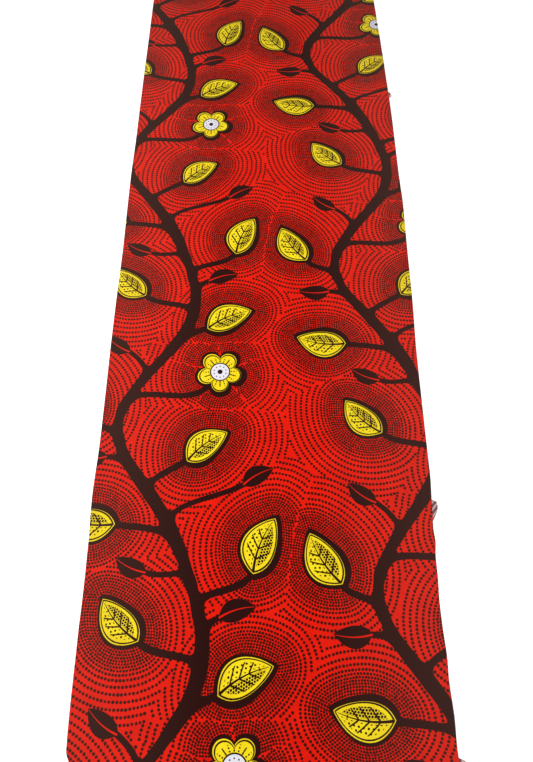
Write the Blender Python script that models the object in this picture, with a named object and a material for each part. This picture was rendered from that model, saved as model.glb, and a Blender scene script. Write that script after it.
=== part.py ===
# A two yard cut of printed cotton cloth, folded along its length and laid flat.
#
# X runs across the strip, Y along it from the near cut end to the far one, Z up.
# The origin is on the resting plane, under the middle of the strip.
# Lengths are in metres. "Along" is measured from the near cut end.

import math

import bpy
import numpy as np

# The cut and its fold
CUT_LENGTH = 1.83
FACE_WIDTH = 0.585
WALL = 0.0012
SEAM = 0.0003
LEFT_FOLD_AIR = 0.0010
RIGHT_FOLD_AIR = 0.0014
MIDDLE_HEIGHT = 0.0030
LEFT_SETTLE = 0.030
RIGHT_SETTLE = 0.055

# How far each long fold bows out past a straight strip, row by row along it
EDGE_COLUMNS = ("along", "left_bow", "right_bow")
EDGE_ROWS = (
    (0.000, -0.0130, -0.0100),
    (0.023, -0.0056, -0.0105),
    (0.031, -0.0020, -0.0108),
    (0.045, -0.0007, -0.0108),
    (0.075, 0.0004, -0.0099),
    (0.130, 0.0012, -0.0117),
    (0.160, 0.0014, -0.0106),
    (0.200, 0.0018, -0.0121),
    (0.243, 0.0015, -0.0127),
    (0.280, 0.0017, -0.0110),
    (0.315, 0.0023, -0.0106),
    (0.336, 0.0026, -0.0083),
    (0.357, 0.0032, -0.0094),
    (0.375, 0.0044, -0.0082),
    (0.395, 0.0051, -0.0074),
    (0.412, 0.0055, -0.0062),
    (0.445, 0.0051, -0.0042),
    (0.480, 0.0039, -0.0040),
    (0.592, 0.0036, -0.0037),
    (0.700, 0.0045, -0.0026),
    (0.809, 0.0044, 0.0012),
    (0.930, 0.0032, 0.0028),
    (1.064, 0.0044, 0.0052),
    (1.140, 0.0047, 0.0041),
    (1.220, 0.0034, 0.0041),
    (1.367, 0.0028, 0.0030),
    (1.450, 0.0024, 0.0010),
    (1.600, 0.0010, -0.0027),
    (1.720, 0.0002, -0.0068),
    (1.800, -0.0014, -0.0100),
    (1.830, -0.0060, -0.0150),
)

# How much higher than its pressed height the right fold stands, row by row
LOFT_COLUMNS = ("along", "loft")
LOFT_ROWS = (
    (0.000, 0.0002),
    (0.090, 0.0016),
    (0.200, 0.0004),
    (0.330, 0.0022),
    (0.450, 0.0003),
    (0.640, 0.0014),
    (0.800, 0.0002),
    (1.010, 0.0018),
    (1.180, 0.0004),
    (1.390, 0.0015),
    (1.600, 0.0003),
    (1.830, 0.0008),
)

# Soft ridges, and troughs with a rise below zero, on the uppermost layer
RIPPLE_COLUMNS = ("along", "across", "half_length", "half_width", "rise", "turn")
RIPPLES = (
    (0.130, -0.120, 0.150, 0.060, 0.0014, 62),
    (0.330, 0.175, 0.130, 0.050, 0.0026, 24),
    (0.470, -0.060, 0.190, 0.070, 0.0016, 78),
    (0.640, 0.190, 0.120, 0.055, 0.0020, -18),
    (0.760, -0.150, 0.170, 0.060, 0.0013, 70),
    (0.900, 0.030, 0.210, 0.080, 0.0018, 96),
    (1.020, 0.205, 0.110, 0.050, 0.0023, 15),
    (1.190, -0.110, 0.180, 0.065, 0.0015, 66),
    (1.390, 0.160, 0.150, 0.060, 0.0020, -26),
    (1.560, -0.050, 0.190, 0.075, 0.0016, 84),
    (1.700, 0.140, 0.120, 0.060, 0.0014, 40),
)

# The bottom layer's selvedge: how far it lies outside the right fold
SELVEDGE_TUCK = 0.0012
SELVEDGE_ROUND = 0.0004
TAB_PEAK = 0.394
TAB_NEAR = 0.027
TAB_FAR = 0.014
TAB_TAPER = 1.3
TAB_SQUARENESS = 3
TAB_REACH = 0.0102
CORNER_LENGTH = 0.0245
CORNER_REACH = 0.0135
CORNER_SQUARENESS = 6

# The hidden layers stop short of the near cut end on the left and reach it on the right.
# At both cut ends they thin to the bottom layer alone, so the ends show two layers.
STEP_BACK = 0.0045
END_REACH = 0.060
NEAR_SKEW = 0.0050
END_THINNING = 0.0080
LEAST_FILLING = 0.02

# How finely the solids are divided
ROW_STEP = 0.041
TAB_ROW_STEP = 0.0045
CORNER_ROWS = 8
FAR_ROWS = 4
ARC_STEPS = 5
SPAN_STEPS = 22
EDGE_CROWDING = 0.55


def column(rows, names, name):
    """One named column of a table, as an array."""
    return np.array([row[names.index(name)] for row in rows])


def smooth_through(known, values, at):
    """A smooth curve through the known values: cubic pieces whose slopes are the mean slopes."""
    slopes = np.gradient(values, known)
    i = np.clip(np.searchsorted(known, at, side="right") - 1, 0, len(known) - 2)
    step = known[i + 1] - known[i]
    t = np.clip((at - known[i]) / step, 0, 1)
    rise = (values[i + 1] - values[i]) * t * t * (3 - 2 * t)
    start = t * (1 - t) ** 2 * slopes[i] * step
    end = t * t * (1 - t) * slopes[i + 1] * step
    return values[i] + rise + start - end


def ease(x):
    """0 below 0 and 1 above 1, with a soft S between them."""
    t = np.clip(x, 0, 1)
    return t * t * (3 - 2 * t)


def bump(x):
    """A round hump: 1 at 0, falling softly to 0 at 1 and at -1."""
    return ease(1 - np.abs(x))


def row_places():
    """Where the sections stand along the strip: even steps, closer at the tab and at the cut ends."""
    even = np.linspace(0, CUT_LENGTH, round(CUT_LENGTH / ROW_STEP) + 1)
    tab_start = TAB_PEAK - TAB_NEAR
    tab_end = TAB_PEAK + TAB_FAR
    tab = np.linspace(tab_start, tab_end, round((tab_end - tab_start) / TAB_ROW_STEP) + 1)
    corner = CORNER_LENGTH * np.sin(np.linspace(0, math.pi / 2, CORNER_ROWS))
    far = CUT_LENGTH - np.linspace(0, CORNER_LENGTH, FAR_ROWS)
    clear_of_tab = (even < tab_start - TAB_ROW_STEP) | (even > tab_end + TAB_ROW_STEP)
    clear_of_ends = (even > CORNER_LENGTH + TAB_ROW_STEP) & (even < far.min() - TAB_ROW_STEP)
    return np.sort(np.concatenate([even[clear_of_tab & clear_of_ends], tab, corner, far]))


def fold_lines(along):
    """(left, right): the outermost x of each long fold."""
    known = column(EDGE_ROWS, EDGE_COLUMNS, "along")
    left = smooth_through(known, column(EDGE_ROWS, EDGE_COLUMNS, "left_bow"), along)
    right = smooth_through(known, column(EDGE_ROWS, EDGE_COLUMNS, "right_bow"), along)
    return -FACE_WIDTH / 2 - left, FACE_WIDTH / 2 + right


def fold_radii(along):
    """(left, right): the outer radius of each fold, two walls and the air between them."""
    known = column(LOFT_ROWS, LOFT_COLUMNS, "along")
    loft = smooth_through(known, column(LOFT_ROWS, LOFT_COLUMNS, "loft"), along)
    left = np.full_like(along, WALL + LEFT_FOLD_AIR / 2)
    return left, WALL + (RIGHT_FOLD_AIR + loft) / 2


def ripple_height(across, along):
    """The sum of the soft ridges: each a hump along its own turned axes."""
    total = np.zeros(np.broadcast(across, along).shape)
    for row in RIPPLES:
        ripple = dict(zip(RIPPLE_COLUMNS, row))
        turn = math.radians(ripple["turn"])
        dx = across - ripple["across"]
        dy = along - ripple["along"]
        with_ridge = (dx * math.cos(turn) + dy * math.sin(turn)) / ripple["half_length"]
        over_ridge = (dy * math.cos(turn) - dx * math.sin(turn)) / ripple["half_width"]
        total += ripple["rise"] * bump(with_ridge) * bump(over_ridge)
    return total


def top_height(across, along):
    """Height of the uppermost surface between the folds: fold heights eased into the rippled middle."""
    left, right = fold_lines(along)
    left_radius, right_radius = fold_radii(along)
    from_left = ease((across - left - left_radius) / LEFT_SETTLE)
    from_right = ease((right - right_radius - across) / RIGHT_SETTLE)
    middle = MIDDLE_HEIGHT + ripple_height(across, along)
    height = 2 * left_radius * (1 - from_left) + middle * from_left
    right_height = WALL + SEAM + 2 * right_radius
    return height * from_right + right_height * (1 - from_right)


def near_end_shift(across, along):
    """How far the cut line at the near end leans in, most on the right, fading out along the strip."""
    lean = NEAR_SKEW * ease(across / FACE_WIDTH + 0.5)
    return lean * (1 - ease(along / END_REACH))


def span_columns(along, inset):
    """x of each column between the two folds' tops, one row for each section."""
    left, right = fold_lines(along)
    left_radius, right_radius = fold_radii(along)
    start = left + left_radius + inset
    end = right - right_radius - inset
    share = np.linspace(0, 1, SPAN_STEPS + 1)
    spread = share - EDGE_CROWDING * np.sin(2 * math.pi * share) / (2 * math.pi)
    return start[:, None] + (end - start)[:, None] * spread[None, :]


def face_sections(along, depth):
    """Section points of the face layer at a depth under its outer surface, from the left fold's
    lowest point over the top to the right fold's lowest point. Shape (rows, points, 3)."""
    left, right = fold_lines(along)
    left_radius, right_radius = fold_radii(along)
    angle = np.linspace(0, math.pi, ARC_STEPS + 1)[:-1]
    left_x = (left + left_radius)[:, None] - (left_radius - depth)[:, None] * np.sin(angle)
    left_z = left_radius[:, None] - (left_radius - depth)[:, None] * np.cos(angle)
    span_x = span_columns(along, 0.0)
    span_z = top_height(span_x, along[:, None]) - depth
    right_centre = WALL + SEAM + right_radius
    right_x = (right - right_radius)[:, None] + (right_radius - depth)[:, None] * np.sin(angle[::-1])
    right_z = right_centre[:, None] - (right_radius - depth)[:, None] * np.cos(angle[::-1])
    x = np.hstack([left_x, span_x, right_x])
    z = np.hstack([left_z, span_z, right_z])
    y = along[:, None] + near_end_shift(x, along[:, None])
    return np.stack([x, y, z], axis=2)


def selvedge_line(along):
    """x of the bottom layer's selvedge: tucked under the right fold, with a tab and a corner that show."""
    right = fold_lines(along)[1]
    from_peak = along - TAB_PEAK
    taper = 1 - np.clip(-from_peak / TAB_NEAR, 0, 1) ** TAB_TAPER
    shoulder = np.sqrt(1 - np.clip(from_peak / TAB_FAR, 0, 1) ** TAB_SQUARENESS)
    tab = (TAB_REACH + SELVEDGE_TUCK) * taper * shoulder
    corner_shape = np.sqrt(1 - np.clip(along / CORNER_LENGTH, 0, 1) ** CORNER_SQUARENESS)
    corner = (CORNER_REACH + SELVEDGE_TUCK) * corner_shape
    return right - SELVEDGE_TUCK + tab + corner


def under_sections(along):
    """Closed section rings of the hidden layers: the flat underside, the selvedge's rounded lip, the
    step up beside the right fold's lower wall, and the top, which follows the face from below."""
    left, right = fold_lines(along)
    left_radius, right_radius = fold_radii(along)
    selvedge = selvedge_line(along)
    seam_x = right - right_radius - SEAM
    rim = selvedge - SELVEDGE_ROUND
    start = left + left_radius + SEAM
    edge_x = np.stack([seam_x, rim, selvedge, selvedge, rim, seam_x, (start + seam_x) / 2, start], axis=1)
    edge_z = np.array([WALL, WALL, WALL - SELVEDGE_ROUND, SELVEDGE_ROUND, 0, 0, 0, 0])
    top_x = span_columns(along, SEAM)
    filling = top_height(top_x, along[:, None]) - WALL - SEAM - WALL
    from_ends = ease(np.minimum(along, CUT_LENGTH - along) / END_THINNING)
    top_z = WALL + filling * np.maximum(from_ends, LEAST_FILLING)[:, None]
    x = np.hstack([top_x, edge_x])
    z = np.hstack([top_z, np.broadcast_to(edge_z, edge_x.shape)])
    back = STEP_BACK * (1 - ease(x / FACE_WIDTH + 0.5)) * (1 - ease(along[:, None] / END_REACH))
    far_back = STEP_BACK * ease((along[:, None] - CUT_LENGTH + END_REACH) / END_REACH)
    y = along[:, None] + back - far_back
    return np.stack([x, y, z], axis=2)


def closed_tube(name, rings):
    """A solid from closed section rings, one for each row, with its two ends filled.
    Every four points are split from near left to far right, so that neighbouring solids match."""
    rows, count = rings.shape[:2]
    points = rings.reshape(-1, 3)
    row, point = np.meshgrid(np.arange(rows - 1), np.arange(count), indexing="ij")
    a = (row * count + point).ravel()
    b = (row * count + (point + 1) % count).ravel()
    to_right = points[b, 0] > points[a, 0]
    first = np.stack([a, b, np.where(to_right, b, a) + count], axis=1)
    second = np.stack([np.where(to_right, a, b), b + count, a + count], axis=1)
    faces = np.concatenate([first, second])
    last = (rows - 1) * count
    near = [list(range(count - 1, -1, -1))]
    far = [[last + k for k in range(count)]]
    mesh = bpy.data.meshes.new(name)
    mesh.from_pydata(points.tolist(), [], faces.tolist() + near + far)
    mesh.validate()
    return mesh


def wall_rings(outer, inner):
    """Section rings of a wall: its outer points one way and its inner points back."""
    return np.concatenate([outer, inner[:, ::-1]], axis=1)


def fabric_material(name, colour, roughness):
    """A matt cloth finish in one plain colour."""
    material = bpy.data.materials.new(name)
    material.use_nodes = True
    shader = material.node_tree.nodes["Principled BSDF"]
    shader.inputs["Base Color"].default_value = (*colour, 1.0)
    shader.inputs["Roughness"].default_value = roughness
    shader.inputs["Metallic"].default_value = 0.0
    material.diffuse_color = (*colour, 1.0)
    return material


def add_solid(name, mesh, material):
    """One named object, shaded smooth but for its sharp cut edges."""
    mesh.materials.append(material)
    mesh.shade_smooth()
    mesh.set_sharp_from_angle(angle=math.radians(40))
    solid = bpy.data.objects.new(name, mesh)
    bpy.context.scene.collection.objects.link(solid)
    return solid


def centred(points):
    """The same points, with the middle of the cut at the origin's Y."""
    return points - np.array([0.0, CUT_LENGTH / 2, 0.0])


def build():
    for old in list(bpy.context.scene.objects):
        bpy.data.objects.remove(old, do_unlink=True)
    along = row_places()
    red_print = fabric_material("red_print", (0.55, 0.03, 0.01), 0.75)
    pale_back = fabric_material("pale_back", (0.42, 0.13, 0.10), 0.85)
    face = wall_rings(face_sections(along, 0.0), face_sections(along, WALL))
    add_solid("face_layer", closed_tube("face_layer", centred(face)), red_print)
    under = under_sections(along)
    add_solid("under_layers", closed_tube("under_layers", centred(under)), pale_back)


build()
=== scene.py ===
import math

import bpy
import numpy as np
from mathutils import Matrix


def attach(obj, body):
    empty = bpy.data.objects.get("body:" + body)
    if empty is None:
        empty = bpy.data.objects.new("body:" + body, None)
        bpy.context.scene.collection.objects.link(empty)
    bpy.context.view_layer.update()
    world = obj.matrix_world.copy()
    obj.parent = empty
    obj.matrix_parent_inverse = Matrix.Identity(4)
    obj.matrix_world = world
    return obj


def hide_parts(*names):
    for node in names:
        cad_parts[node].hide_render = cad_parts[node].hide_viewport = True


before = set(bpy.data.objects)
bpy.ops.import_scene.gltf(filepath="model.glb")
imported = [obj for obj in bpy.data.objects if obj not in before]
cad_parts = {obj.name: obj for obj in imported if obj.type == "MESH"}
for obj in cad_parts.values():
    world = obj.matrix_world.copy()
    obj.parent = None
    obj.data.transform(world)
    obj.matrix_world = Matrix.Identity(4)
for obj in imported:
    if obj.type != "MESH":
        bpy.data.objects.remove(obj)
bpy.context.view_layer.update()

scene = bpy.context.scene

# The cut length and how it is folded, in metres: the same sizes as its solids.
# X runs across the strip, Y along it, and "along" is measured from the near cut end.
strip = {
    "length": 1.83,
    "faceWidth": 0.585,
    "wall": 0.0012,
    "seam": 0.0003,
    "leftAir": 0.0010,
    "rightAir": 0.0014,
    "middleHeight": 0.0030,
    "leftSettle": 0.030,
    "rightSettle": 0.055,
    "selvedgeTuck": 0.0012,
    "tabPeak": 0.394,
    "tabNear": 0.027,
    "tabFar": 0.014,
    "tabTaper": 1.3,
    "tabSquareness": 3,
    "tabReach": 0.0102,
    "cornerLength": 0.0245,
    "cornerReach": 0.0135,
    "cornerSquareness": 6,
    "stepBack": 0.0045,
    "endReach": 0.060,
    "nearSkew": 0.0050,
    "tabLift": 0.0016,
    "turnedWidth": 0.046,
    "turnedSwing": 0.014,
    "turnedWaves": 4.1,
    "turnedStart": 0.8,
    "turnedBack": 0.0012,
    "turnedRise": 0.0004,
}

# The cut lines: each wave's height, radians a metre and start, then how far in they begin
cut = {"waves": ((0.0009, 37, 0.6), (0.0005, 113, 2.1)), "inset": 0.0013, "reach": 0.03}

# How far each long fold bows out past a straight strip
edgeNames = ("along", "leftBow", "rightBow")
edgeRows = (
    (0.000, -0.0130, -0.0100),
    (0.023, -0.0056, -0.0105),
    (0.031, -0.0020, -0.0108),
    (0.045, -0.0007, -0.0108),
    (0.075, 0.0004, -0.0099),
    (0.130, 0.0012, -0.0117),
    (0.160, 0.0014, -0.0106),
    (0.200, 0.0018, -0.0121),
    (0.243, 0.0015, -0.0127),
    (0.280, 0.0017, -0.0110),
    (0.315, 0.0023, -0.0106),
    (0.336, 0.0026, -0.0083),
    (0.357, 0.0032, -0.0094),
    (0.375, 0.0044, -0.0082),
    (0.395, 0.0051, -0.0074),
    (0.412, 0.0055, -0.0062),
    (0.445, 0.0051, -0.0042),
    (0.480, 0.0039, -0.0040),
    (0.592, 0.0036, -0.0037),
    (0.700, 0.0045, -0.0026),
    (0.809, 0.0044, 0.0012),
    (0.930, 0.0032, 0.0028),
    (1.064, 0.0044, 0.0052),
    (1.140, 0.0047, 0.0041),
    (1.220, 0.0034, 0.0041),
    (1.367, 0.0028, 0.0030),
    (1.450, 0.0024, 0.0010),
    (1.600, 0.0010, -0.0027),
    (1.720, 0.0002, -0.0068),
    (1.800, -0.0014, -0.0100),
    (1.830, -0.0060, -0.0150),
)

# How much higher than its pressed height the right fold stands
loftNames = ("along", "loft")
loftRows = (
    (0.000, 0.0002),
    (0.090, 0.0016),
    (0.200, 0.0004),
    (0.330, 0.0022),
    (0.450, 0.0003),
    (0.640, 0.0014),
    (0.800, 0.0002),
    (1.010, 0.0018),
    (1.180, 0.0004),
    (1.390, 0.0015),
    (1.600, 0.0003),
    (1.830, 0.0008),
)

# Where the selvedge peeks out by a few millimetres more, with loose yarns
peekNames = ("along", "halfLength", "reach")
peekRows = (
    (1.062, 0.026, 0.0009),
    (1.389, 0.012, 0.0050),
    (1.512, 0.026, 0.0011),
)

# Soft ridges that the solids have too, then the finer creases that only the cloth has
ridgeNames = ("along", "across", "halfLength", "halfWidth", "rise", "turn")
rippleRows = (
    (0.130, -0.120, 0.150, 0.060, 0.0014, 62),
    (0.330, 0.175, 0.130, 0.050, 0.0026, 24),
    (0.470, -0.060, 0.190, 0.070, 0.0016, 78),
    (0.640, 0.190, 0.120, 0.055, 0.0020, -18),
    (0.760, -0.150, 0.170, 0.060, 0.0013, 70),
    (0.900, 0.030, 0.210, 0.080, 0.0018, 96),
    (1.020, 0.205, 0.110, 0.050, 0.0023, 15),
    (1.190, -0.110, 0.180, 0.065, 0.0015, 66),
    (1.390, 0.160, 0.150, 0.060, 0.0020, -26),
    (1.560, -0.050, 0.190, 0.075, 0.0016, 84),
    (1.700, 0.140, 0.120, 0.060, 0.0014, 40),
)
creaseRows = (
    (0.070, 0.090, 0.110, 0.016, 0.0005, 12),
    (0.210, -0.190, 0.120, 0.014, 0.0006, -38),
    (0.300, 0.245, 0.055, 0.011, 0.0009, 31),
    (0.355, 0.238, 0.060, 0.012, 0.0008, 12),
    (0.405, 0.020, 0.160, 0.015, -0.0002, 8),
    (0.520, 0.215, 0.085, 0.013, 0.0007, -24),
    (0.560, -0.215, 0.095, 0.015, 0.0005, 48),
    (0.690, 0.060, 0.150, 0.016, 0.0004, -66),
    (0.815, 0.230, 0.070, 0.012, 0.0008, 18),
    (0.850, -0.080, 0.140, 0.016, 0.0005, 82),
    (0.980, 0.120, 0.120, 0.014, -0.0002, 30),
    (1.080, 0.235, 0.070, 0.012, 0.0008, -20),
    (1.150, -0.205, 0.110, 0.015, 0.0006, -52),
    (1.280, 0.050, 0.160, 0.016, 0.0004, 74),
    (1.450, 0.225, 0.075, 0.013, 0.0007, 26),
    (1.500, -0.140, 0.130, 0.015, 0.0005, 60),
    (1.640, 0.080, 0.120, 0.016, 0.0005, -40),
    (1.750, -0.170, 0.100, 0.014, 0.0006, 35),
)

# How finely the cloth is divided: the spacing stays under the print's dots
grid = {
    "rowStep": 0.00375,
    "spanStep": 0.0036,
    "arcSteps": 8,
    "backEvery": 4,
    "thickness": 0.0007,
    "bottomEvery": 12,
    "bottomEdge": 4,
    "turnedPoints": 14,
}


# A table's rows as dictionaries by the names of its columns
def named(rows, names):
    return [dict(zip(names, row)) for row in rows]


# One column of a table, by its name
def column(rows, names, name):
    return np.array([row[names.index(name)] for row in rows])


# 0 below 0 and 1 above 1, three x squared less two x cubed between
def ease(x):
    t = np.clip(x, 0, 1)
    return t * t * (3 - 2 * t)


# 1 at the middle, easing to 0 one unit away on both sides
def hump(x):
    return ease(1 - np.abs(x))


# Cubic pieces through the known values, each end's slope the mean slope there
def throughRows(rows, names, name, at):
    known = column(rows, names, "along")
    values = column(rows, names, name)
    slopes = np.gradient(values, known)
    i = np.clip(np.searchsorted(known, at, side="right") - 1, 0, len(known) - 2)
    step = known[i + 1] - known[i]
    t = np.clip((at - known[i]) / step, 0, 1)
    rise = (values[i + 1] - values[i]) * t * t * (3 - 2 * t)
    start = t * (1 - t) ** 2 * slopes[i] * step
    end = t * t * (1 - t) * slopes[i + 1] * step
    return values[i] + rise + start - end


# The outermost x of the left and right folds: half the width and the bow there
def foldLines(along):
    left = throughRows(edgeRows, edgeNames, "leftBow", along)
    right = throughRows(edgeRows, edgeNames, "rightBow", along)
    return -strip["faceWidth"] / 2 - left, strip["faceWidth"] / 2 + right


# Outer radius of each fold: one wall and half the air inside the fold
def foldRadii(along):
    loft = throughRows(loftRows, loftNames, "loft", along)
    left = np.full_like(along, strip["wall"] + strip["leftAir"] / 2)
    return left, strip["wall"] + (strip["rightAir"] + loft) / 2


# Every ridge is its rise times a hump along it times a hump over it
def ridges(rows, across, along):
    total = np.zeros(np.broadcast(across, along).shape)
    for ridge in named(rows, ridgeNames):
        turn = math.radians(ridge["turn"])
        dx = across - ridge["across"]
        dy = along - ridge["along"]
        withRidge = (dx * math.cos(turn) + dy * math.sin(turn)) / ridge["halfLength"]
        overRidge = (dy * math.cos(turn) - dx * math.sin(turn)) / ridge["halfWidth"]
        total += ridge["rise"] * hump(withRidge) * hump(overRidge)
    return total


# Height of the uppermost surface: the folds' own heights eased into the rippled middle
def topHeight(across, along, creased=0.0):
    left, right = foldLines(along)
    leftRadius, rightRadius = foldRadii(along)
    fromLeft = ease((across - left - leftRadius) / strip["leftSettle"])
    fromRight = ease((right - rightRadius - across) / strip["rightSettle"])
    middle = strip["middleHeight"] + ridges(rippleRows, across, along)
    height = 2 * leftRadius * (1 - fromLeft) + middle * fromLeft
    rightHeight = strip["wall"] + strip["seam"] + 2 * rightRadius
    height = height * fromRight + rightHeight * (1 - fromRight)
    return height + creased * ridges(creaseRows, across, along)


# How far the near cut line leans in, most on the right, fading out along the strip
def nearShift(across, along):
    lean = strip["nearSkew"] * ease(across / strip["faceWidth"] + 0.5)
    return lean * (1 - ease(along / strip["endReach"]))


# The cut lines waver as the sum of two sines, as scissors leave them, and fade out inwards
def cutWaver(across, along):
    waver = sum(height * np.sin(across * turns + start) for height, turns, start in cut["waves"])
    near = 1 - ease(along / cut["reach"])
    far = ease((along - strip["length"] + cut["reach"]) / cut["reach"])
    return (waver + cut["inset"]) * near - (waver + cut["inset"]) * far


# x of the bottom layer's selvedge: under the right fold, but for its tab and corner
def selvedgeLine(along):
    right = foldLines(along)[1]
    fromPeak = along - strip["tabPeak"]
    tab = 1 - np.clip(-fromPeak / strip["tabNear"], 0, 1) ** strip["tabTaper"]
    tab = tab * np.sqrt(1 - np.clip(fromPeak / strip["tabFar"], 0, 1) ** strip["tabSquareness"])
    corner = np.sqrt(1 - np.clip(along / strip["cornerLength"], 0, 1) ** strip["cornerSquareness"])
    tuck = strip["selvedgeTuck"]
    line = right - tuck + (strip["tabReach"] + tuck) * tab + (strip["cornerReach"] + tuck) * corner
    for peek in named(peekRows, peekNames):
        line = line + (peek["reach"] + tuck) * np.sqrt(hump((along - peek["along"]) / peek["halfLength"]))
    return line


# Sections of the face layer, a row of points each: round the left fold from its lowest
# point, over the top, and round the right fold to its lowest point. The second array is
# the place on the unfolded cloth: x over the top, and arc lengths round the folds.
def faceSections(along, spanShares, depth=0.0, creased=1.0):
    left, right = foldLines(along)
    leftRadius, rightRadius = foldRadii(along)
    angle = np.linspace(0, math.pi, grid["arcSteps"] + 1)[:-1]
    start = (left + leftRadius)[:, None]
    end = (right - rightRadius)[:, None]
    leftRadius, rightRadius = leftRadius[:, None], rightRadius[:, None]
    spanX = start + (end - start) * spanShares[None, :]
    x = np.hstack([
        start - (leftRadius - depth) * np.sin(angle),
        spanX,
        end + (rightRadius - depth) * np.sin(angle[::-1]),
    ])
    z = np.hstack([
        leftRadius - (leftRadius - depth) * np.cos(angle),
        topHeight(spanX, along[:, None], creased) - depth,
        strip["wall"] + strip["seam"] + rightRadius - (rightRadius - depth) * np.cos(angle[::-1]),
    ])
    u = np.hstack([
        start - leftRadius * (math.pi - angle),
        spanX,
        end + rightRadius * (math.pi - angle[::-1]),
    ])
    v = np.broadcast_to(along[:, None], u.shape)
    y = v + nearShift(x, v) + cutWaver(x, v) - strip["length"] / 2
    return np.stack([x, y, z], axis=2), np.stack([u, v], axis=2)


# Sections of the bottom layer, from its selvedge on the right back to the left fold.
# Its printed side is its underside, so its cloth places run on backwards from the fold.
def bottomSections(along, shares, height):
    left = foldLines(along)[0]
    radius = foldRadii(along)[0]
    foldX = (left + radius + strip["seam"])[:, None]
    selvedge = selvedgeLine(along)[:, None]
    x = selvedge + (foldX - selvedge) * shares[None, :]
    u = (left + radius * (1 - math.pi))[:, None] - (x - foldX)
    v = np.broadcast_to(along[:, None], x.shape)
    back = strip["stepBack"] * (1 - ease(x / strip["faceWidth"] + 0.5)) * (1 - ease(v / strip["endReach"]))
    farBack = strip["stepBack"] * ease((v - strip["length"] + strip["endReach"]) / strip["endReach"])
    y = v + back - farBack - strip["length"] / 2
    outside = ease((x - foldLines(v)[1]) / strip["tabReach"])
    z = height + strip["tabLift"] * outside
    return np.stack([x, y, z], axis=2), np.stack([u, v], axis=2)


# Sections of the strip turned under at the right fold, from the fold back to its raw edge
def turnedSections(along, shares, height):
    right = foldLines(along)[1]
    radius = foldRadii(along)[1]
    foldX = (right - radius - strip["seam"])[:, None]
    wave = np.sin(along * strip["turnedWaves"] + strip["turnedStart"])[:, None]
    width = strip["turnedWidth"] + strip["turnedSwing"] * wave
    x = foldX - width * shares[None, :]
    u = (right + radius * (math.pi - 1))[:, None] + foldX - x
    v = np.broadcast_to(along[:, None], x.shape)
    y = v + nearShift(x, v) + strip["turnedBack"] - strip["length"] / 2
    z = np.broadcast_to(height, x.shape) + strip["turnedRise"] * ease(shares)[None, :]
    return np.stack([x, y, z], axis=2), np.stack([u, v], axis=2)


# The print: a leafy stem that waves lengthwise and repeats in a half drop.
# Places are in metres of flat cloth; headings are in degrees from straight across.
printPlan = {
    "tileAcross": 0.43,
    "tileAlong": 0.64,
    "turn": 3.6,
    "origin": (-0.155, 0.05),
    "tileColumns": range(-3, 3),
    "tileRows": range(-1, 5),
    "stemSwing": 0.070,
    "stemRipple": 0.012,
    "rippleStart": 0.8,
    "stemWidth": 0.0200,
    "stemSwell": 0.12,
    "swellWaves": 21,
    "stalkWidth": 0.0115,
    "stalkCurve": 0.42,
    "stalkPoints": 13,
    "stalkReach": 0.05,
    "webbing": 0.012,
    "leafLength": 0.086,
    "leafWidth": 0.047,
    "leafTaper": 0.22,
    "taperLimit": 1.6,
    "leafBend": 0.006,
    "flowerRadius": 0.038,
    "discRadius": 0.0180,
    "border": 0.0095,
    "swell": 0.0032,
    "swellSlope": 16.0,
    "swellStart": 0.60,
    "lineInner": 0.0023,
    "lineOuter": 0.0024,
    "lineSwell": 0.0020,
    "firstRow": 0.0096,
    "denseRows": 0.028,
    "opening": 0.036,
    "denseGap": 0.0043,
    "openGap": 0.0102,
    "dotPitch": 0.0046,
    "openPitch": 1.30,
    "dotRadius": 0.00205,
    "openRadius": 1.17,
    "lastRow": 0.170,
    "motifReach": (-1.00, 0.46, 0.10),
    "dotReach": (-0.96, 0.42, 0.01),
}
leafNames = ("stemAt", "across", "along", "heading", "size")
leafRows = (
    (0.010, 0.130, 0.070, 22, 1.00),
    (0.075, -0.065, 0.168, 131, 0.94),
    (0.170, 0.170, 0.270, 64, 1.04),
    (0.265, -0.125, 0.330, 168, 1.00),
    (0.365, 0.080, 0.450, 34, 0.93),
    (0.470, -0.160, 0.562, 118, 1.02),
)
flowerRows = ((0.530, 0.108, 0.596, 52, 1.00),)
darkRows = (
    (0.090, 0.122, 0.168, 12, 0.72),
    (0.215, -0.050, 0.252, 152, 0.66),
    (0.385, -0.128, 0.444, 176, 0.72),
    (0.585, -0.085, 0.668, 140, 0.68),
    (0.300, 0.168, 0.388, 26, 0.70),
)


# The stem's sideways place is one sine a tile and a smaller one twice as quick
def stemPlace(along):
    q = 2 * math.pi / printPlan["tileAlong"]
    ripple = printPlan["stemRipple"] * np.sin(2 * q * along + printPlan["rippleStart"])
    return printPlan["stemSwing"] * np.sin(q * along) + ripple


turnCos = math.cos(math.radians(printPlan["turn"]))
turnSin = math.sin(math.radians(printPlan["turn"]))
turnedPrint = np.array([[turnCos, turnSin], [-turnSin, turnCos]])


# Print places on the cloth: turned by the print's turn, then moved by its origin
def ontoCloth(points):
    return points @ turnedPrint + np.array(printPlan["origin"])


# Cloth places on the print: moved back by the origin, then turned back
def ontoPrint(points):
    return (points - np.array(printPlan["origin"])) @ turnedPrint.T


# True where places are between two lines across the cloth and within a margin of its ends
def onCloth(across, along, low, high, margin):
    return (across > low) & (across < high) & (along > -margin) & (along < strip["length"] + margin)


# Each tile of the half drop: every second column of tiles is moved along by half a tile
def tileCorners():
    tiles = []
    for i in printPlan["tileColumns"]:
        for j in printPlan["tileRows"]:
            tiles.append((i * printPlan["tileAcross"], (j + 0.5 * (i % 2)) * printPlan["tileAlong"]))
    return tiles


# A motif's own directions: the cosine and sine of its heading, and a quarter turn on
def ownAxes(copy):
    turn = math.radians(copy["heading"])
    along = np.array([math.cos(turn), math.sin(turn)])
    return along, np.array([-along[1], along[0]])


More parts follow.
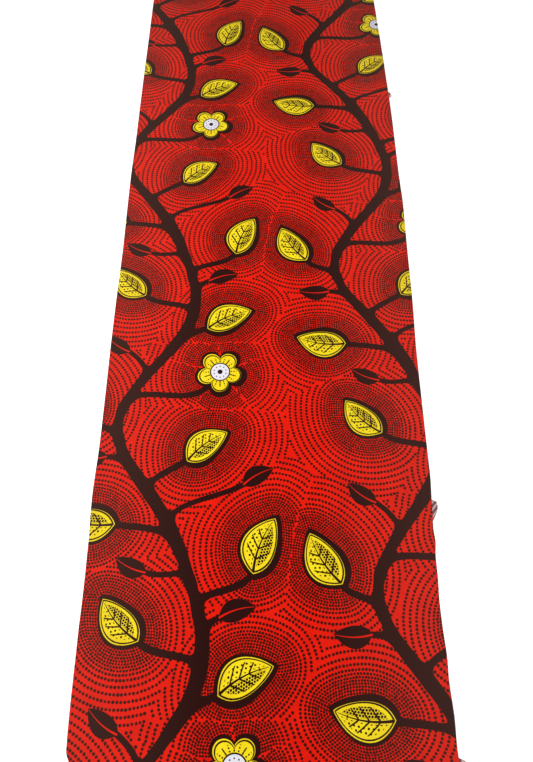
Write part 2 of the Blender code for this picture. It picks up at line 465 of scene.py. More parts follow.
# The copies of a table's motifs that come near the cloth: centre, heading, size and the
# place and heading of the stem where the stalk leaves it
def motifCopies(rows):
    copies = []
    short = 0.001  # the stem's heading is taken over this length
    for corner in tileCorners():
        for place in named(rows, leafNames):
            centre = ontoCloth(np.array([place["across"], place["along"]]) + np.array(corner))
            if onCloth(*centre, *printPlan["motifReach"]):
                stemAt = place["stemAt"]
                stem = np.array([stemPlace(stemAt), stemAt]) + np.array(corner)
                ahead = np.array([stemPlace(stemAt + short) - stemPlace(stemAt), short])
                ahead = ontoCloth(stem + ahead) - ontoCloth(stem)
                copies.append({
                    "centre": centre,
                    "heading": place["heading"] + printPlan["turn"],
                    "size": place["size"],
                    "stem": ontoCloth(stem),
                    "stemWay": ahead / np.linalg.norm(ahead),
                })
    return copies


# Cloth places in a motif's own frame: x from its base to its tip, y across it
def ownPlaces(copy, points):
    along, across = ownAxes(copy)
    away = points - copy["centre"]
    return away @ along / copy["size"], away @ across / copy["size"]


# Places in a motif's own frame put onto the cloth: each axis times its place, and the centre
def fromOwn(copy, x, y):
    along, across = ownAxes(copy)
    return copy["centre"] + copy["size"] * (np.outer(x, along) + np.outer(y, across))


# A leaf is two circle arcs that meet in its tips: radius from its length and width.
# It is bent by a parabola along it, and made wider at its base than at its tip.
leafHalf = printPlan["leafLength"] / 2
leafArc = (leafHalf ** 2 + (printPlan["leafWidth"] / 2) ** 2) / printPlan["leafWidth"]
leafOffset = leafArc - printPlan["leafWidth"] / 2


# Takes a leaf's bend and taper away, so that the two arcs alone are left to draw
def leafStraight(x, y):
    bend = printPlan["leafBend"] * (1 - (x / leafHalf) ** 2)
    limit = printPlan["taperLimit"]
    return x, (y - bend) / (1 - printPlan["leafTaper"] * np.clip(x / leafHalf, -limit, limit))


# A leaf's outline: the arc on one side and its mirror image, tapered and then bent
def leafOutline(copy):
    x = leafHalf * np.cos(np.linspace(0, math.pi, 33))
    y = np.sqrt(np.maximum(leafArc ** 2 - x ** 2, 0)) - leafOffset
    x, y = np.concatenate([x, x[-2:0:-1]]), np.concatenate([y, -y[-2:0:-1]])
    y = y * (1 - printPlan["leafTaper"] * x / leafHalf) + printPlan["leafBend"] * (1 - (x / leafHalf) ** 2)
    return fromOwn(copy, x, y)


# Five petals. The field inside them falls to their edge a little less steeply than the radius.
petals = {"turns": 2.5, "least": 0.56, "dip": 0.44, "roundness": 0.7, "steepness": 0.86}


# The flower's radius at an angle: a least share and, over it, a power of the cosine of two
# and a half times the angle
def petalRadius(theta):
    petal = np.abs(np.cos(petals["turns"] * theta)) ** petals["roundness"]
    return printPlan["flowerRadius"] * (petals["least"] + petals["dip"] * petal)


# A flower's outline: its radius all the way round
def flowerOutline(copy):
    theta = np.linspace(0, 2 * math.pi, 81)[:-1]
    return fromOwn(copy, petalRadius(theta) * np.cos(theta), petalRadius(theta) * np.sin(theta))


# The closed line at one distance outside an outline: each corner's normals are fanned out
def offsetLine(outline, distance):
    edge = np.roll(outline, -1, axis=0) - outline
    turned = np.arctan2(-edge[:, 0], edge[:, 1])
    before = np.roll(turned, 1)
    swing = (turned - before + math.pi) % (2 * math.pi) - math.pi
    fan = before[:, None] + swing[:, None] * np.linspace(0, 1, 6)[None, :]
    points = outline[:, None, :] + distance * np.stack([np.cos(fan), np.sin(fan)], axis=2)
    return points.reshape(-1, 2)


# Points an even pitch apart along a closed line
def evenlySpaced(line, pitch, start):
    closed = np.vstack([line, line[:1]])
    along = np.concatenate([[0], np.cumsum(np.linalg.norm(np.diff(closed, axis=0), axis=1))])
    count = max(6, round(along[-1] / pitch))
    at = (np.arange(count) + start) % count * along[-1] / count
    return np.stack([np.interp(at, along, closed[:, k]) for k in range(2)], axis=1)


# Distances outside a motif at which its dot rows run: close at first, then opening out
def rowDistances():
    rows = [printPlan["firstRow"]]
    while rows[-1] < printPlan["lastRow"]:
        opening = ease((rows[-1] - printPlan["denseRows"]) / printPlan["opening"])
        rows.append(rows[-1] + printPlan["denseGap"] * (1 - opening) + printPlan["openGap"] * opening)
    return rows


# Square bins over the cloth that hold the dots, and more than any distance in the print
bins = {"size": 0.0042, "low": (-1.05, -0.15), "extent": (1.60, 2.15), "room": 6}
binShape = np.array([int(extent / bins["size"]) for extent in bins["extent"]])
farAway = 9.0


# The bin that each place is in
def binOf(places):
    return np.clip(((places - np.array(bins["low"])) / bins["size"]).astype(int), 0, binShape - 1)


# Sorts points into the bins and gives each bin's members as rows padded with -1
def binned(points):
    cell = binOf(points)
    key = cell[:, 0] * binShape[1] + cell[:, 1]
    order = np.argsort(key, kind="stable")
    first = np.searchsorted(key[order], key[order])
    slot = np.arange(len(key)) - first
    table = np.full((binShape[0] * binShape[1], bins["room"]), -1)
    kept = slot < bins["room"]
    table[key[order][kept], slot[kept]] = order[kept]
    return table.reshape(*binShape, bins["room"])


# For each place, the members of its own bin and the eight round it
def neighbours(places, table):
    cell = binOf(places)
    found = []
    for di in (-1, 0, 1):
        for dj in (-1, 0, 1):
            near = np.clip(cell + np.array([di, dj]), 0, binShape - 1)
            found.append(table[near[:, 0], near[:, 1]])
    return np.hstack(found)


# How far a dot may be from its place in its row and still be kept, how near two dots may
# come, and how uneven their places and sizes are
dotRules = {
    "seed": 7,
    "nearby": 0.1,
    "slack": 0.0012,
    "ownShare": 0.985,
    "ownSlack": 0.0002,
    "touching": 1.04,
    "jitter": 0.00016,
    "unevenness": 0.05,
}


# The dots: rows round every leaf and flower at the row distances, each dot kept only where
# its own motif is the nearest one, and dropped where it would touch an earlier dot
def dotRows(outlines):
    places, radii = [], []
    rng = np.random.default_rng(dotRules["seed"])
    nearby = 2 * printPlan["lastRow"] + dotRules["nearby"]
    for number, outline in enumerate(outlines):
        centre = outline.mean(axis=0)
        gaps = [np.linalg.norm(other.mean(axis=0) - centre) for other in outlines]
        others = np.vstack([outlines[k] for k, gap in enumerate(gaps) if k != number and gap < nearby])
        for row, distance in enumerate(rowDistances()):
            opening = ease((distance - printPlan["denseRows"]) / printPlan["opening"])
            pitch = printPlan["dotPitch"] * (1 + (printPlan["openPitch"] - 1) * opening)
            radius = printPlan["dotRadius"] * (1 + (printPlan["openRadius"] - 1) * opening)
            ring = evenlySpaced(offsetLine(outline, distance), pitch, 0.5 * (row % 2))
            own = np.linalg.norm(ring[:, None] - outline[None], axis=2).min(axis=1)
            away = np.linalg.norm(ring[:, None] - others[None], axis=2).min(axis=1)
            kept = away > distance - dotRules["slack"]
            kept &= own > distance * dotRules["ownShare"] - dotRules["ownSlack"]
            if not kept.any():
                break
            places.append(ring[kept])
            radii.append(np.full(kept.sum(), radius))
    places, radii = np.vstack(places), np.concatenate(radii)
    shown = onCloth(places[:, 0], places[:, 1], *printPlan["dotReach"])
    places, radii = places[shown], radii[shown]
    beside = neighbours(places, binned(places))
    gap = np.linalg.norm(places[beside] - places[:, None], axis=2)
    touching = gap < dotRules["touching"] * (radii[beside] + radii[:, None])
    earlier = (beside >= 0) & (beside < np.arange(len(places))[:, None]) & touching
    crowded = earlier.any(axis=1)
    places, radii = places[~crowded], radii[~crowded]
    places = places + rng.normal(0, dotRules["jitter"], places.shape)
    return places, radii * rng.normal(1, dotRules["unevenness"], len(radii))


# The four dots nearest to each face, as the corners' offsets from them in dot radii
def dotOffsets(corners, dots, radii):
    middle = corners.mean(axis=1)
    beside = neighbours(middle, binned(dots))
    gap = np.where(beside >= 0, np.linalg.norm(dots[beside] - middle[:, None], axis=2), farAway)
    order = np.argsort(gap, axis=1)[:, :4]
    chosen = np.take_along_axis(beside, order, axis=1)
    real = np.take_along_axis(gap, order, axis=1) < 1.0
    offsets = []
    for k in range(4):
        dot, radius = dots[chosen[:, k]], radii[chosen[:, k]]
        offset = (corners - dot[:, None]) / radius[:, None, None]
        offsets.append(np.where(real[:, k][:, None, None], offset, farAway))
    return offsets


# The smaller of two distances, less a quarter of k times the square of how near they are
# to each other, as ink webs a fork
def webbed(a, b, k):
    h = np.maximum(k - np.abs(a - b), 0) / k
    return np.minimum(a, b) - h * h * k / 4


# Distance from points to a stalk that leaves the stem with the stem's own heading and
# ends with the leaf's: a cubic curve through two guides, cut into short straight parts
def stalkDistance(points, start, startWay, end, endWay):
    t = np.linspace(0, 1, printPlan["stalkPoints"])[:, None]
    reach = printPlan["stalkCurve"] * np.linalg.norm(end - start)
    guides = start + startWay * reach, end - endWay * reach
    line = (1 - t) ** 3 * start + t ** 3 * end
    line = line + 3 * t * (1 - t) ** 2 * guides[0] + 3 * t * t * (1 - t) * guides[1]
    best = np.full(len(points), farAway)
    for a, b in zip(line[:-1], line[1:]):
        share = np.clip(((points - a) @ (b - a)) / ((b - a) @ (b - a)), 0, 1)
        best = np.minimum(best, np.linalg.norm(points - a - share[:, None] * (b - a), axis=1))
    return best


# Below zero inside the dark line work: the stems and the stalks of leaves and flowers
def darkGap(points):
    onPrint = ontoPrint(points)
    gap = np.full(len(points), farAway)
    slope = printPlan["stemSwing"] * 2 * math.pi / printPlan["tileAlong"]
    for i in printPlan["tileColumns"]:
        along = onPrint[:, 1] - 0.5 * (i % 2) * printPlan["tileAlong"]
        side = np.abs(onPrint[:, 0] - i * printPlan["tileAcross"] - stemPlace(along))
        lean = slope * np.cos(2 * math.pi * along / printPlan["tileAlong"])
        swell = 1 + printPlan["stemSwell"] * np.sin(along * printPlan["swellWaves"] + i)
        gap = np.minimum(gap, side / np.sqrt(1 + lean ** 2) - printPlan["stemWidth"] / 2 * swell)
    for motif in motifs:
        for copy in motif["copies"]:
            way = ownAxes(copy)[0]
            end = copy["centre"] - way * motif["stalkEnd"] * copy["size"]
            length = np.linalg.norm(end - copy["stem"])
            fromMiddle = np.linalg.norm(points - (copy["stem"] + end) / 2, axis=1)
            near = fromMiddle < length / 2 + printPlan["stalkReach"]
            if near.any():
                stalk = stalkDistance(points[near], copy["stem"], copy["stemWay"], end, way)
                stalk = stalk - printPlan["stalkWidth"] / 2 * motif["stalkShare"]
                gap[near] = webbed(gap[near], stalk, printPlan["webbing"])
    return gap


# Each corner in the frame of its face's nearest motif, and that motif's kind
def motifPlaces(corners):
    middle = corners.mean(axis=1)
    best = np.full(len(middle), farAway)
    places = np.zeros((*corners.shape[:2], 3))
    for motif in motifs:
        for copy in motif["copies"]:
            x, y = ownPlaces(copy, middle)
            fromSpine = np.hypot(x - np.clip(x, -motif["spine"], motif["spine"]), y)
            gap = (fromSpine - motif["reach"]) * copy["size"] + motif["yields"]
            mine = gap < best
            best[mine] = gap[mine]
            x, y = ownPlaces(copy, corners[mine].reshape(-1, 2))
            if motif["isLeaf"]:
                x, y = leafStraight(x, y)
            places[mine, :, 0] = x.reshape(-1, 4)
            places[mine, :, 1] = y.reshape(-1, 4)
            places[mine, :, 2] = motif["kind"]
    return places


leaves, flowers, darkLeaves = [motifCopies(rows) for rows in (leafRows, flowerRows, darkRows)]

# Kinds 0 to 2 are yellow leaves, flowers and dark leaves. A motif reaches out from a spine
# and yields to its neighbours by a distance. Its stalk ends behind its centre, and has a
# share of the stalks' full width.
motifNames = ("kind", "copies", "isLeaf", "spine", "reach", "yields", "stalkEnd", "stalkShare")
motifs = named((
    (0, leaves, True, leafHalf * 0.75, 0.015, 0.0, leafHalf, 1.0),
    (1, flowers, False, 0.0, 0.033, 0.0, 0.030, 1.0),
    (2, darkLeaves, True, leafHalf * 0.75, 0.015, 0.010, leafHalf * 0.9, 0.8),
), motifNames)
dots, dotRadii = dotRows([leafOutline(c) for c in leaves] + [flowerOutline(c) for c in flowers])
print("print laid out:", len(leaves), "leaves,", len(flowers), "flowers,", len(dots), "dots")


# Shader maths as Python expressions: every operator adds the Math node it stands for
class Wire:
    def __init__(self, tree, socket):
        self.tree, self.socket = tree, socket

    def math(self, operation, *values, clamp=False):
        settings = {"operation": operation, "use_clamp": clamp}
        return addNode(self.tree, "ShaderNodeMath", settings, dict(enumerate(values)))

    def __add__(self, other):
        return self.math("ADD", self, other)

    def __radd__(self, other):
        return self.math("ADD", other, self)

    def __sub__(self, other):
        return self.math("SUBTRACT", self, other)

    def __rsub__(self, other):
        return self.math("SUBTRACT", other, self)

    def __mul__(self, other):
        return self.math("MULTIPLY", self, other)

    def __rmul__(self, other):
        return self.math("MULTIPLY", other, self)

    def __truediv__(self, other):
        return self.math("DIVIDE", self, other)

    def __rtruediv__(self, other):
        return self.math("DIVIDE", other, self)

    def __pow__(self, other):
        return self.math("POWER", self, other)

    def __rpow__(self, other):
        return self.math("POWER", other, self)

    def __abs__(self):
        return self.math("ABSOLUTE", self)


# Fills a node's inputs: a wire is linked, and a plain value is set on the socket itself
def fill(tree, node, inputs):
    for name, value in inputs.items():
        if isinstance(value, Wire):
            tree.links.new(value.socket, node.inputs[name])
        else:
            node.inputs[name].default_value = value


# One method for any node: its type, its settings, then the values or wires of its inputs
def addNode(tree, kind, settings, inputs, output=0):
    node = tree.nodes.new(kind)
    for name, value in settings.items():
        setattr(node, name, value)
    fill(tree, node, inputs)
    return Wire(tree, node.outputs[output])


# The larger of two values, which lays one mask over another
def larger(a, b):
    return a.math("MAXIMUM", a, b)


# Distance from the origin: the root of x squared plus y squared
def farOut(x, y):
    total = x * x + y * y
    return total.math("SQRT", total)


# What a value has over the whole number below it
def fraction(a):
    return a.math("FRACT", a)


# Colour a where the factor is 0, and colour b where it is 1
def mixed(factor, a, b):
    settings = {"data_type": "RGBA", "clamp_factor": True}
    return addNode(factor.tree, "ShaderNodeMix", settings, {0: factor, 6: a, 7: b}, 2)


# Picture values from 0 to 255 as the linear values that shaders take
def paint(red, green, blue):
    share = np.array([red, green, blue]) / 255
    value = np.where(share <= 0.04045, share / 12.92, ((share + 0.055) / 1.055) ** 2.4)
    return (*value.tolist(), 1.0)


printColours = {
    "red": (213, 24, 6),
    "deepRed": (199, 18, 4),
    "dotInk": (58, 11, 6),
    "dark": (28, 6, 5),
    "darkWorn": (43, 12, 9),
    "yellow": (231, 209, 28),
    "deepYellow": (217, 189, 22),
    "white": (210, 208, 217),
    "bleed": 0.00035,
    "dotBleed": 1.3,
    "wobble": 0.00050,
    "wobbleScale": 420.0,
    "dotWobble": 0.8,
    "stemWobble": 1.1,
    "motifWobble": 0.7,
    "cloudScale": 26.0,
    "cloudContrast": (2.2, -0.6),
    "grainScale": 900.0,
    "slubScale": 130.0,
    "threadPitch": 0.00042,
    # painted shade between the weave's threads: the colour's share there
    "threadShade": 0.90,
    "weaveDepth": 0.00009,
    "weaveShare": 0.5,
    "slubShare": 0.7,
    "bump": 0.55,
    # painted sheen and shade near the folds: the pale colour mixed in, its largest share at a fold, and the
    # width in metres over which it fades
    "foldSheen": (196, 150, 134),
    "foldSheenShare": 0.042,
    "foldSheenWidth": 0.20,
    "roughness": 0.74,
    "slubRoughness": 0.12,
    "sheen": 0.16,
    "sheenRoughness": 0.45,
    "sheenTint": (1.0, 0.80, 0.60, 1.0),
    "specular": 0.03,
}


# 1 where a field is above zero, 0 below, with an edge as wide as soft
def above(field, soft=printColours["bleed"]):
    return field.math("MULTIPLY_ADD", field, 1 / soft, 0.5, clamp=True)


# A new material, its tree and its shader
def newMaterial(name):
    material = bpy.data.materials.new(name)
    material.use_nodes = True
    return material, material.node_tree, material.node_tree.nodes["Principled BSDF"]


# A vector that the mesh holds, and its three numbers
def attribute(tree, name):
    vector = addNode(tree, "ShaderNodeAttribute", {"attribute_name": name}, {}, "Vector")
    first = addNode(tree, "ShaderNodeSeparateXYZ", {}, {0: vector})
    return vector, [Wire(tree, output) for output in first.socket.node.outputs]


# One number that the mesh holds
def measure(tree, name):
    return addNode(tree, "ShaderNodeAttribute", {"attribute_name": name}, {}, "Fac")


# Noise over the flat cloth, with scale humps a metre
def noise(tree, place, scale, detail=2.0, roughness=0.5):
    inputs = {"Vector": place, "Scale": scale, "Detail": detail, "Roughness": roughness}
    return addNode(tree, "ShaderNodeTexNoise", {"noise_dimensions": "2D"}, inputs)


# The bump of a height, twice as deep as the weave
def bump(tree, height, strength):
    inputs = {"Strength": strength, "Distance": printColours["weaveDepth"] * 2, "Height": height}
    return addNode(tree, "ShaderNodeBump", {}, inputs)


# A plain weave's height: the product of a sine across and a sine along, a thread each
def weaveHeight(u, v, pitch):
    across = u.math("SINE", u * (math.pi / pitch))
    along = v.math("SINE", v * (math.pi / pitch))
    return across * along


# Dots in staggered rows: the place in its own cell, every second row half a cell on
def dotGrid(x, y, pitch, rowGap, radius):
    row = y / rowGap
    stagger = row.math("GREATER_THAN", fraction(row * 0.5), 0.5) * 0.5
    dx = (fraction(x / pitch + stagger) - 0.5) * pitch
    dy = (fraction(row) - 0.5) * rowGap
    return above(radius - farOut(dx, dy))


# Sideways place in the nearest of so many equal parts of a circle: the fraction of the part
# less a half, times the circle's length over their number
def inPart(theta, reach, count):
    part = 2 * math.pi / count
    return (fraction(theta / part + 0.5) - 0.5) * reach * part


# The leaf's inside: how far a place lies inside both of its arcs
def leafField(x, y):
    return leafArc - farOut(x, abs(y) + leafOffset)


# The flower's inside: the petal radius at that angle less the distance from its centre
def flowerField(reach, theta):
    turn = theta * petals["turns"]
    petal = abs(turn.math("COSINE", turn)) ** petals["roundness"]
    radius = printPlan["flowerRadius"]
    edge = petal * (petals["dip"] * radius) + petals["least"] * radius
    return (edge - reach) * petals["steepness"]


# The drawing inside a leaf: dots are given as their pitch, the gap of their rows and radius
leafLines = {
    "midrib": 0.0019,
    "midribTaper": 0.0013,
    "midribEnd": 0.040,
    "veinPitch": 0.0165,
    "veinSlant": 0.95,
    "veinSpread": 0.0120,
    "veinWidth": 0.00130,
    "veinTaper": 0.016,
    "veinMargin": 0.0040,
    "veinFade": 0.0012,
    "veinEnd": 0.62,
    "veinEndFade": 0.0020,
    "denseDots": (0.0047, 0.0041, 0.00192),
    "denseFrom": -0.0030,
    "sparseDots": (0.0074, 0.0062, 0.00176),
    "sparseFrom": 0.0032,
    "dotMargin": 0.0044,
    "dotFade": 0.0010,
}


# Ink inside a leaf: a midrib that thins along it, veins at an even pitch that slant with the
# distance from it, and dots, denser on one half. A dark leaf has the midrib alone.
def leafDrawing(x, y, field, isDark):
    out = abs(y)
    fade = leafLines["dotFade"]
    along = (x + leafHalf) / printPlan["leafLength"]
    midrib = above(leafLines["midrib"] - along * leafLines["midribTaper"] - out)
    midrib = midrib * above(leafLines["midribEnd"] - x)
    phase = (x - out * leafLines["veinSlant"]) / leafLines["veinPitch"]
    veinGap = abs(fraction(phase) - 0.5) * leafLines["veinSpread"]
    vein = above(leafLines["veinWidth"] - veinGap - out * leafLines["veinTaper"])
    vein = vein * above(field - leafLines["veinMargin"], leafLines["veinFade"])
    vein = vein * above(leafHalf * leafLines["veinEnd"] - x, leafLines["veinEndFade"])
    dense = dotGrid(x, y, *leafLines["denseDots"]) * above(leafLines["denseFrom"] - y, fade)
    sparse = dotGrid(x, y, *leafLines["sparseDots"]) * above(y - leafLines["sparseFrom"], fade)
    stipple = larger(dense, sparse) * above(field - leafLines["dotMargin"], fade)
    return larger(midrib, larger(vein, stipple) * (1 - isDark))


# The drawing inside a flower, in metres, with two counts and a share of the disc's radius
flowerLines = {
    "lineWidth": 0.00090,
    "petalEnd": 0.0310,
    "ring": 0.00120,
    "eye": 0.0048,
    "stamens": 10,
    "stamenPlace": 0.64,
    "stamenRadius": 0.00125,
    "dotRows": 0.0048,
    "dotsAround": 20,
    "dotRadius": 0.00135,
    "dotMargin": 0.0018,
}


# Ink inside a flower: an eye, a circle of stamens and a ring round the disc, and on the
# petals a line down each, where the sine of its turn is 0, and dots in circles
def flowerDrawing(reach, theta):
    disc = printPlan["discRadius"]
    turn = theta * petals["turns"]
    axisGap = abs(turn.math("SINE", turn)) * reach / petals["turns"]
    onPetal = above(flowerLines["petalEnd"] - reach)
    petalLine = above(flowerLines["lineWidth"] - axisGap) * above(reach - disc) * onPetal
    ring = above(flowerLines["ring"] - abs(reach - disc))
    eye = above(flowerLines["eye"] - reach)
    stamenOut = reach - disc * flowerLines["stamenPlace"]
    stamenGap = farOut(inPart(theta, reach, flowerLines["stamens"]), stamenOut)
    stamens = above(flowerLines["stamenRadius"] - stamenGap)
    dotOut = (fraction(reach / flowerLines["dotRows"]) - 0.5) * flowerLines["dotRows"]
    dotGap = farOut(dotOut, inPart(theta, reach, flowerLines["dotsAround"]))
    petalDots = above(flowerLines["dotRadius"] - dotGap) * onPetal
    petalDots = petalDots * above(reach - disc - flowerLines["dotMargin"])
    return larger(larger(larger(petalLine, ring), larger(eye, stamens)), petalDots)


dotLabels = ("dotA", "dotB", "dotC", "dotD")


# The printed side: each mask is 1 inside its shape and mixes its ink over what is below it,
# from the dots up to the motifs; painted sheen and shade pales the colour near both folds, and the weave's
# painted shade between its threads multiplies them all
def printedCotton():
    material, tree, shader = newMaterial("printedCotton")
    place, (u, v, _) = attribute(tree, "clothPlace")
    _, (x, y, kind) = attribute(tree, "motifPlace")
    ragged = (noise(tree, place, printColours["wobbleScale"]) - 0.5) * (2 * printColours["wobble"])

    # the nearest four dots, their edges as ragged as the ink left them
    dotMask = None
    for name in dotLabels:
        _, (dx, dy, _) = attribute(tree, name)
        inside = (1 - farOut(dx, dy)) * printPlan["dotRadius"] + ragged * printColours["dotWobble"]
        mask = above(inside, printColours["bleed"] * printColours["dotBleed"])
        dotMask = mask if dotMask is None else larger(dotMask, mask)
    stemMask = above(ragged * printColours["stemWobble"] - measure(tree, "darkGap"))

    # the body of a leaf or flower, the dark border round it and the fine line in that
    isFlower = 1 - abs(kind - 1)
    isDark = kind.math("SUBTRACT", kind, 1.0, clamp=True)
    isLeaf = 1 - isFlower
    reach = farOut(x, y)
    theta = y.math("ARCTAN2", y, x)
    field = leafField(x, y) * isLeaf + flowerField(reach, theta) * isFlower
    field = field + ragged * printColours["motifWobble"]
    body = above(field)
    swell = y.math("MULTIPLY_ADD", y, printPlan["swellSlope"], printPlan["swellStart"], clamp=True)
    border = (printPlan["border"] + (1 - swell) * printPlan["swell"]) * (1 - isDark)
    patch = above(field + border)
    lineOuter = field + printPlan["lineOuter"] + swell * printPlan["lineSwell"]
    fineLine = (above(lineOuter) - above(field + printPlan["lineInner"])) * (1 - isDark)
    leafInk = leafDrawing(x, y, field, isDark) * isLeaf
    flowerInk = flowerDrawing(reach, theta) * isFlower
    white = above(printPlan["discRadius"] - reach) * isFlower

    # colours, each a little uneven, as dye takes on cotton
    cloudy = noise(tree, place, printColours["cloudScale"], 3.0, 0.6)
    grainy = noise(tree, place, printColours["grainScale"], 1.0)
    uneven = cloudy.math("MULTIPLY_ADD", cloudy, *printColours["cloudContrast"], clamp=True)
    ground = mixed(uneven, paint(*printColours["deepRed"]), paint(*printColours["red"]))
    darkInk = mixed(grainy, paint(*printColours["dark"]), paint(*printColours["darkWorn"]))
    yellow = mixed(uneven, paint(*printColours["deepYellow"]), paint(*printColours["yellow"]))
    inside = mixed(white, yellow, paint(*printColours["white"]))
    inside = mixed(larger(leafInk, flowerInk), inside, darkInk)
    inside = mixed(isDark, inside, mixed(leafInk, darkInk, ground))
    colour = mixed(dotMask, ground, paint(*printColours["dotInk"]))
    for mask, ink in ((stemMask, darkInk), (patch, darkInk), (fineLine, yellow), (body, inside)):
        colour = mixed(mask, colour, ink)

    # painted sheen and shade near both folds: the colour is mixed a little towards a pale pink veil, as
    # light greys and dims the red there
    foldGap = measure(tree, "foldGap")
    nearFold = foldGap.math("MULTIPLY_ADD", foldGap, -1 / printColours["foldSheenWidth"], 1.0, clamp=True)
    colour = mixed(nearFold * printColours["foldSheenShare"], colour, paint(*printColours["foldSheen"]))

    # painted shade between the plain weave's threads, multiplied into the colour, and the weave and slubs
    # as bump and roughness
    weave = weaveHeight(u, v, printColours["threadPitch"])
    weaveShade = mixed(weave * 0.5 + 0.5, (*[printColours["threadShade"]] * 3, 1.0), (1.0, 1.0, 1.0, 1.0))
    shaded = {"data_type": "RGBA", "blend_type": "MULTIPLY", "clamp_factor": True}
    slubs = noise(tree, place, printColours["slubScale"], 3.0, 0.6)
    height = weave * printColours["weaveShare"] + slubs * printColours["slubShare"]
    slubSwing = printColours["slubRoughness"]
    fill(tree, shader, {
        "Base Color": addNode(tree, "ShaderNodeMix", shaded, {0: 1.0, 6: colour, 7: weaveShade}, 2),
        "Roughness": slubs * slubSwing + (printColours["roughness"] - slubSwing / 2),
        "Normal": bump(tree, height, printColours["bump"]),
        "Sheen Weight": printColours["sheen"],
        "Sheen Roughness": printColours["sheenRoughness"],
        "Sheen Tint": printColours["sheenTint"],
        "Specular IOR Level": printColours["specular"],
    })
    return material


backColours = {
    "back": (168, 44, 30),
    "faded": (196, 82, 66),
    "pale": (188, 166, 165),
    "maroon": (112, 66, 69),
    "mottleScale": 60.0,
    "stripePitch": 0.0105,
    "stripeSlant": 1.1,
    "stripeStart": 0.30,
    "maroonHalf": 0.29,
    "stripeBlend": 0.14,
    "bandWidth": 0.018,
    "bandEdge": 0.0006,
    "weaveShare": 0.6,
    "mottleShare": 0.5,
    "bump": 0.6,
    "thread": (216, 190, 190),
    "redThread": (196, 92, 84),
    "threadScale": 240.0,
    "threadContrast": (3.0, -1.1),
    "roughness": 0.84,
}


# The wrong side: the red gone paler, and along the selvedge a band of slanting stripes
def wrongSide():
    material, tree, shader = newMaterial("wrongSide")
    place, (u, v, _) = attribute(tree, "clothPlace")
    mottled = noise(tree, place, backColours["mottleScale"], 4.0, 0.65)
    plain = mixed(mottled, paint(*backColours["back"]), paint(*backColours["faded"]))
    slant = (v + u * backColours["stripeSlant"]) / backColours["stripePitch"]
    slant = fraction(slant + backColours["stripeStart"])
    stripe = above(abs(slant - 0.5) - backColours["maroonHalf"], backColours["stripeBlend"])
    striped = mixed(stripe, paint(*backColours["maroon"]), paint(*backColours["pale"]))
    inBand = above(backColours["bandWidth"] - measure(tree, "selvedgeGap"), backColours["bandEdge"])
    weave = weaveHeight(u, v, printColours["threadPitch"])
    height = weave * backColours["weaveShare"] + mottled * backColours["mottleShare"]
    fill(tree, shader, {
        "Base Color": mixed(inBand, plain, striped),
        "Roughness": backColours["roughness"],
        "Normal": bump(tree, height, backColours["bump"]),
        "Sheen Weight": printColours["sheen"],
    })
    return material


# A mesh from points and groups of faces that have the same number of corners
def meshFrom(name, points, groups):
    mesh = bpy.data.meshes.new(name)
    corners = np.concatenate([g.ravel() for g in groups])
    sizes = np.concatenate([np.full(len(g), g.shape[1]) for g in groups])
    mesh.vertices.add(len(points))
    mesh.vertices.foreach_set("co", points.astype(np.float32).ravel())
    mesh.loops.add(len(corners))
    mesh.loops.foreach_set("vertex_index", corners.astype(np.int32))
    mesh.polygons.add(len(sizes))
    starts = np.concatenate([[0], np.cumsum(sizes)[:-1]])
    mesh.polygons.foreach_set("loop_start", starts.astype(np.int32))
    mesh.update(calc_edges=True)
    return mesh


# Four corners a face from a grid of point numbers, columns before rows
def gridFaces(numbers):
    a, b = numbers[:-1, :-1], numbers[:-1, 1:]
    return np.stack([a, b, numbers[1:, 1:], numbers[1:, :-1]], axis=2).reshape(-1, 4)


# The faces of a rim between a fine edge and a coarse one that takes every so many points
def rimFaces(fine, coarse, picks):
    groups = {}
    for k in range(len(picks) - 1):
        face = [coarse[k], coarse[k + 1], *fine[picks[k]:picks[k + 1] + 1][::-1]]
        groups.setdefault(len(face), []).append(face)
    return [np.array(g) for g in groups.values()]


# The layout of a UV map for baking the print to a picture, as shares of its side: the gap
# round each part, and how wide a rim is drawn
bakeLayout = {"map": "OFBake", "gap": 0.006, "rim": 0.003, "faceShare": 0.92, "hiddenShare": 0.70}


# The printed side fills two strips of the picture, its near half and its far half, and
# the wrong side one more. A rim's back corners are moved outwards from its strip.
def bakePlaces(groups, outward, flat, frontCount, splitAt, printShare):
    gap = bakeLayout["gap"]
    low, high = flat.min(axis=0), flat.max(axis=0)
    places = []
    for group, way in zip(groups, outward):
        across = (flat[group, 0] - low[0]) / (high[0] - low[0])
        along = flat[group, 1]
        if way is None:
            x = printShare + gap + across * (1 - printShare - 2 * gap)
            y = gap + (along - low[1]) / (high[1] - low[1]) * (1 - 2 * gap)
        else:
            far = (along.mean(axis=1) > splitAt)[:, None]
            start, end = np.where(far, splitAt, low[1]), np.where(far, high[1], splitAt)
            onBack = (group >= frontCount) * bakeLayout["rim"]
            x = (far + gap * 2) * printShare / 2 + across * (printShare / 2 - 2 * gap) + way[0] * onBack
            y = gap + (along - start) / (end - start) * (1 - 2 * gap) + way[1] * onBack
        places.append(np.stack([x, y], axis=2).reshape(-1, 2))
    return np.vstack(places)


# Writes one number or vector for each point or corner
def store(mesh, name, kind, domain, values):
    layer = mesh.attributes.new(name, kind, domain)
    layer.data.foreach_set("value" if kind == "FLOAT" else "vector", values.astype(np.float32).ravel())


# Writes a UV map of one place a corner
def mapCorners(mesh, name, places):
    mesh.uv_layers.new(name=name).uv.foreach_set("vector", places.astype(np.float32).ravel())


# Adds an object with its data to the scene
def addObject(name, data):
    added = bpy.data.objects.new(name, data)
    scene.collection.objects.link(added)
    return added


